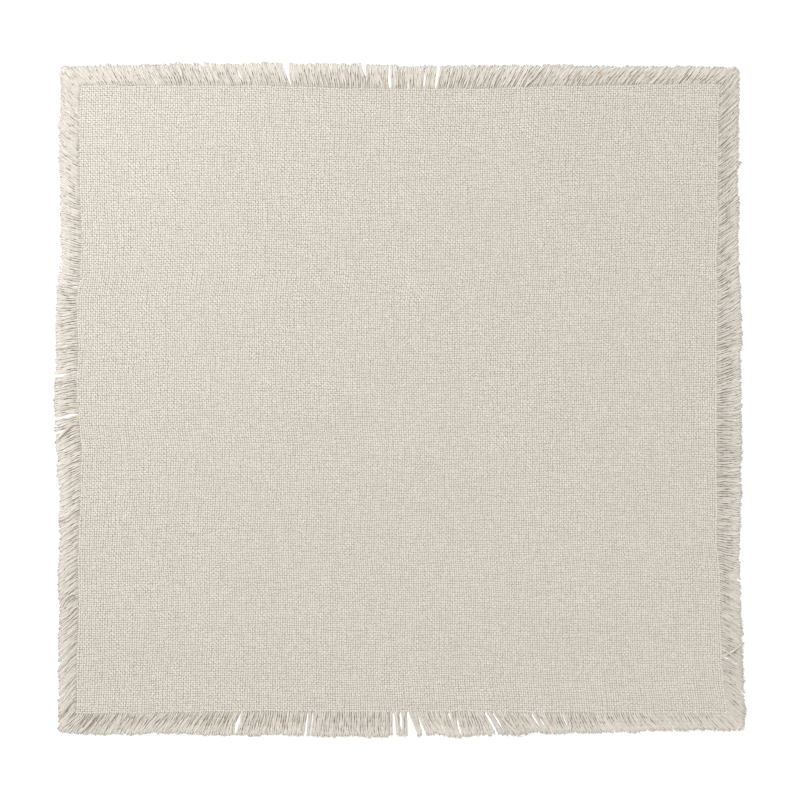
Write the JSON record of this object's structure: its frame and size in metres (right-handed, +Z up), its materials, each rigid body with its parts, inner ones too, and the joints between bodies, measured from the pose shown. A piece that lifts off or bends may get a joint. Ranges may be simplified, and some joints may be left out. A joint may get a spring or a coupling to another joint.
{
  "type": "fringed table napkin",
  "caption": "Square plain-woven cotton table napkin, laid out flat, with a short loose fringe on all four sides.",
  "frame": {"origin": "middle of the woven cloth, on the surface that the napkin lies on", "axes": "+Z up out of the cloth, +X to the right side and +Y to the top side of the napkin as seen from above"},
  "size_m": [0.5215, 0.5079, 0.0018],
  "materials": {
    "cloth": "coarse plain-woven natural cotton, matt",
    "fringe": "loose cotton yarn ends, matt"
  },
  "bodies": {
    "root": {"ground": "cloth", "fringe_top": "fringe", "fringe_bottom": "fringe", "fringe_left": "fringe", "fringe_right": "fringe"}
  },
  "joints": []
}
